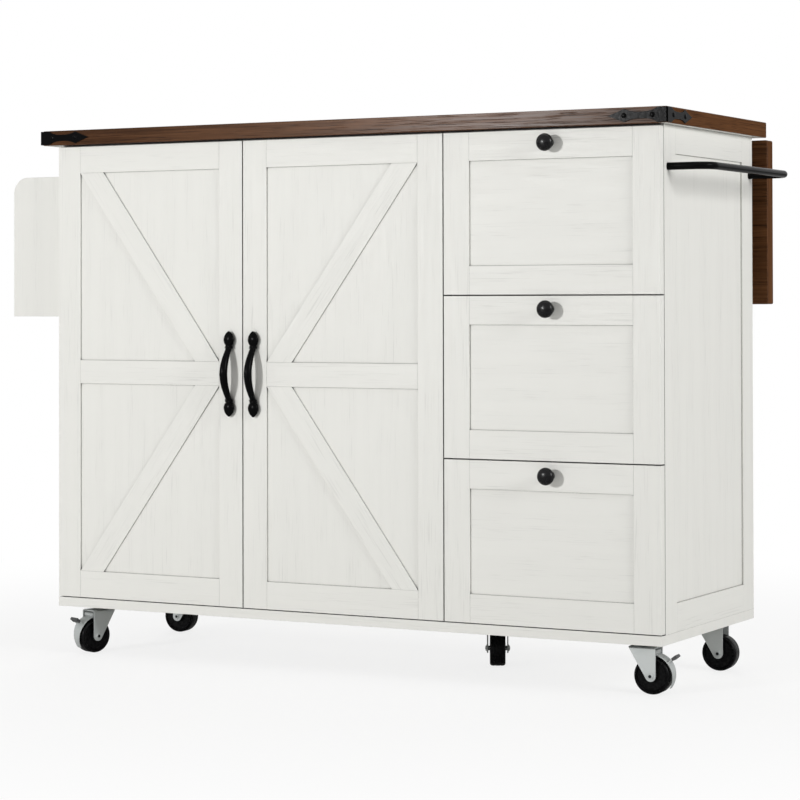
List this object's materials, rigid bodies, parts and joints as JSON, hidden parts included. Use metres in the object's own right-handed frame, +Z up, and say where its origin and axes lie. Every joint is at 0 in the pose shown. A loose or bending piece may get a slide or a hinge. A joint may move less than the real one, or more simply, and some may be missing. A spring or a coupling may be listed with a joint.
{
  "type": "drop leaf kitchen island",
  "caption": "Rolling kitchen island cabinet with a hinged drop leaf on folding stays, braced doors, drawers, a side spice rack and a towel bar, on swivel casters.",
  "frame": {"origin": "middle of the footprint, on the floor that the wheels stand on", "axes": "+Z up, +X along the length towards the drawers and the towel bar, -Y the side with the doors and drawers"},
  "size_m": [1.34, 0.4942, 0.9225],
  "materials": {
    "white_wood": "white paint over an embossed wood grain",
    "brown_wood": "dark reddish brown grained top",
    "drawer_board": "pale laminated board",
    "black_iron": "black textured powder coat",
    "black_gloss": "gloss black lacquer",
    "zinc": "bright zinc plate on pressed steel",
    "steel": "plain plated steel hardware",
    "black_wheel": "moulded black wheel, satin tread"
  },
  "bodies": {
    "cabinet": {"base_board": "white_wood", "left_side_panel": "white_wood", "right_side_panel": "white_wood", "partition": "white_wood", "back_panel": "white_wood", "front_stretcher": "white_wood", "shelf": "white_wood", "worktop": "brown_wood", "left_corner_strap": "black_iron", "right_corner_strap": "black_iron", "towel_bar": "black_iron", "rack_front_end": "white_wood", "rack_rear_end": "white_wood", "rack_lower_shelf": "white_wood", "rack_upper_shelf": "white_wood", "rack_lower_guard": "white_wood", "rack_upper_guard": "white_wood", "left_worktop_hinge_wing": "steel", "middle_worktop_hinge_wing": "steel", "right_worktop_hinge_wing": "steel", "left_stay_bracket": "steel", "right_stay_bracket": "steel", "front_left_caster_plate": "zinc", "front_right_caster_plate": "zinc", "rear_right_caster_plate": "zinc", "rear_left_caster_plate": "zinc", "centre_caster_plate": "zinc"},
    "left_door": {"left_door": "white_wood", "left_door_pull": "black_iron"},
    "right_door": {"right_door": "white_wood", "right_door_pull": "black_iron"},
    "top_drawer": {"top_drawer_front": "white_wood", "top_drawer_tray": "drawer_board", "top_drawer_knob": "black_gloss"},
    "middle_drawer": {"middle_drawer_front": "white_wood", "middle_drawer_tray": "drawer_board", "middle_drawer_knob": "black_gloss"},
    "bottom_drawer": {"bottom_drawer_front": "white_wood", "bottom_drawer_tray": "drawer_board", "bottom_drawer_knob": "black_gloss"},
    "leaf": {"drop_leaf": "brown_wood", "left_leaf_hinge_wing": "steel", "middle_leaf_hinge_wing": "steel", "right_leaf_hinge_wing": "steel", "left_stay_channel": "steel", "right_stay_channel": "steel"},
    "stays": {"left_stay": "steel", "right_stay": "steel"},
    "front_left_fork": {"front_left_fork": "zinc"},
    "front_left_wheel": {"front_left_wheel": "black_wheel"},
    "front_left_brake_pedal": {"front_left_brake_pedal": "zinc"},
    "front_right_fork": {"front_right_fork": "zinc"},
    "front_right_wheel": {"front_right_wheel": "black_wheel"},
    "front_right_brake_pedal": {"front_right_brake_pedal": "zinc"},
    "rear_right_fork": {"rear_right_fork": "zinc"},
    "rear_right_wheel": {"rear_right_wheel": "black_wheel"},
    "rear_left_fork": {"rear_left_fork": "zinc"},
    "rear_left_wheel": {"rear_left_wheel": "black_wheel"},
    "centre_fork": {"centre_fork": "zinc"},
    "centre_wheel": {"centre_wheel": "black_wheel"}
  },
  "joints": [
    {"name": "left_door_hinge", "type": "hinge", "parent": "cabinet", "child": "left_door", "pos_m": [-0.5515, -0.214, 0.4965], "axis": [0, 0, -1], "range_deg": [0, 100]},
    {"name": "right_door_hinge", "type": "hinge", "parent": "cabinet", "child": "right_door", "pos_m": [0.2075, -0.214, 0.4965], "axis": [0, 0, 1], "range_deg": [0, 90]},
    {"name": "top_drawer_slide", "type": "slide", "parent": "cabinet", "child": "top_drawer", "axis": [0, -1, 0], "range_m": [0, 0.3]},
    {"name": "middle_drawer_slide", "type": "slide", "parent": "cabinet", "child": "middle_drawer", "axis": [0, -1, 0], "range_m": [0, 0.3]},
    {"name": "bottom_drawer_slide", "type": "slide", "parent": "cabinet", "child": "bottom_drawer", "axis": [0, -1, 0], "range_m": [0, 0.3]},
    {"name": "leaf_hinge", "type": "hinge", "parent": "cabinet", "child": "leaf", "pos_m": [0.01125, 0.2185, 0.8939], "axis": [1, 0, 0], "range_deg": [0, 90]},
    {"name": "stay_pivot", "type": "hinge", "parent": "cabinet", "child": "stays", "pos_m": [0.01125, 0.2025, 0.7905], "axis": [1, 0, 0], "range_deg": [0, 127]},
    {"name": "front_left_swivel", "type": "hinge", "parent": "cabinet", "child": "front_left_fork", "pos_m": [-0.499, -0.1655, 0.075], "axis": [0, 0, 1], "continuous": true},
    {"name": "front_left_wheel_spin", "type": "hinge", "parent": "front_left_fork", "child": "front_left_wheel", "pos_m": [-0.50618, -0.18523, 0.02974], "axis": [0.9397, -0.342, 0], "continuous": true},
    {"name": "front_left_brake", "type": "hinge", "parent": "front_left_fork", "child": "front_left_brake_pedal", "pos_m": [-0.50755, -0.18899, 0.0663], "axis": [0.9397, -0.342, 0], "range_deg": [0, 4]},
    {"name": "front_right_swivel", "type": "hinge", "parent": "cabinet", "child": "front_right_fork", "pos_m": [0.537, -0.1655, 0.075], "axis": [0, 0, 1], "continuous": true},
    {"name": "front_right_wheel_spin", "type": "hinge", "parent": "front_right_fork", "child": "front_right_wheel", "pos_m": [0.55795, -0.16403, 0.02974], "axis": [-0.0698, 0.9976, 0], "continuous": true},
    {"name": "front_right_brake", "type": "hinge", "parent": "front_right_fork", "child": "front_right_brake_pedal", "pos_m": [0.56194, -0.16376, 0.0663], "axis": [-0.0698, 0.9976, 0], "range_deg": [0, 4]},
    {"name": "rear_right_swivel", "type": "hinge", "parent": "cabinet", "child": "rear_right_fork", "pos_m": [0.537, 0.1225, 0.075], "axis": [0, 0, 1], "continuous": true},
    {"name": "rear_right_wheel_spin", "type": "hinge", "parent": "rear_right_fork", "child": "rear_right_wheel", "pos_m": [0.55795, 0.12397, 0.02974], "axis": [-0.0698, 0.9976, 0], "continuous": true},
    {"name": "rear_left_swivel", "type": "hinge", "parent": "cabinet", "child": "rear_left_fork", "pos_m": [-0.499, 0.1225, 0.075], "axis": [0, 0, 1], "continuous": true},
    {"name": "rear_left_wheel_spin", "type": "hinge", "parent": "rear_left_fork", "child": "rear_left_wheel", "pos_m": [-0.51995, 0.12104, 0.02974], "axis": [0.0698, -0.9976, 0], "continuous": true},
    {"name": "centre_swivel", "type": "hinge", "parent": "cabinet", "child": "centre_fork", "pos_m": [0.2125, -0.0215, 0.075], "axis": [0, 0, 1], "continuous": true},
    {"name": "centre_wheel_spin", "type": "hinge", "parent": "centre_fork", "child": "centre_wheel", "pos_m": [0.20329, -0.00263, 0.02974], "axis": [-0.8988, -0.4384, 0], "continuous": true}
  ],
  "couplings": [
    {"joint": "stay_pivot", "follows": "leaf_hinge", "ratio": 1.4089}
  ]
}
